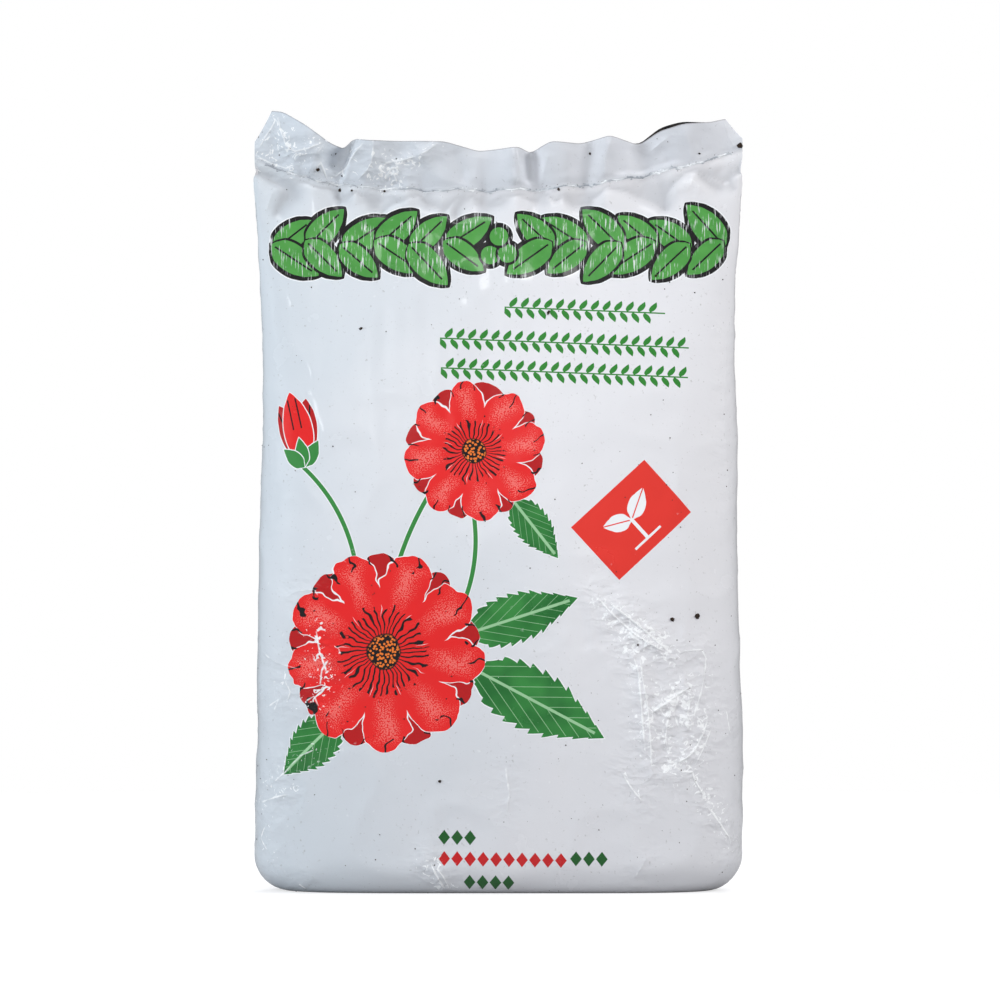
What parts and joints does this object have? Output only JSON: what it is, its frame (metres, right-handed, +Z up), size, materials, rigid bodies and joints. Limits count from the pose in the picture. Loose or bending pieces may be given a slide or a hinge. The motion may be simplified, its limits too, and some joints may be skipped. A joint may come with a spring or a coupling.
{
  "type": "compost bag",
  "caption": "Filled upright bag of compost in gloss plastic film, welded shut below a loose wavy rim, with rounded lower corners and a flat base.",
  "frame": {"origin": "centre of the footprint's box, on the surface that the bag stands on", "axes": "+Z up from the base to the loose rim, +X to the right along the bag's width, and the printed front faces -Y"},
  "size_m": [0.2444, 0.0694, 0.3896],
  "materials": {
    "film": "gloss polyethylene film, white outside and black inside"
  },
  "bodies": {
    "root": {"compost_bag": "film"}
  },
  "joints": []
}
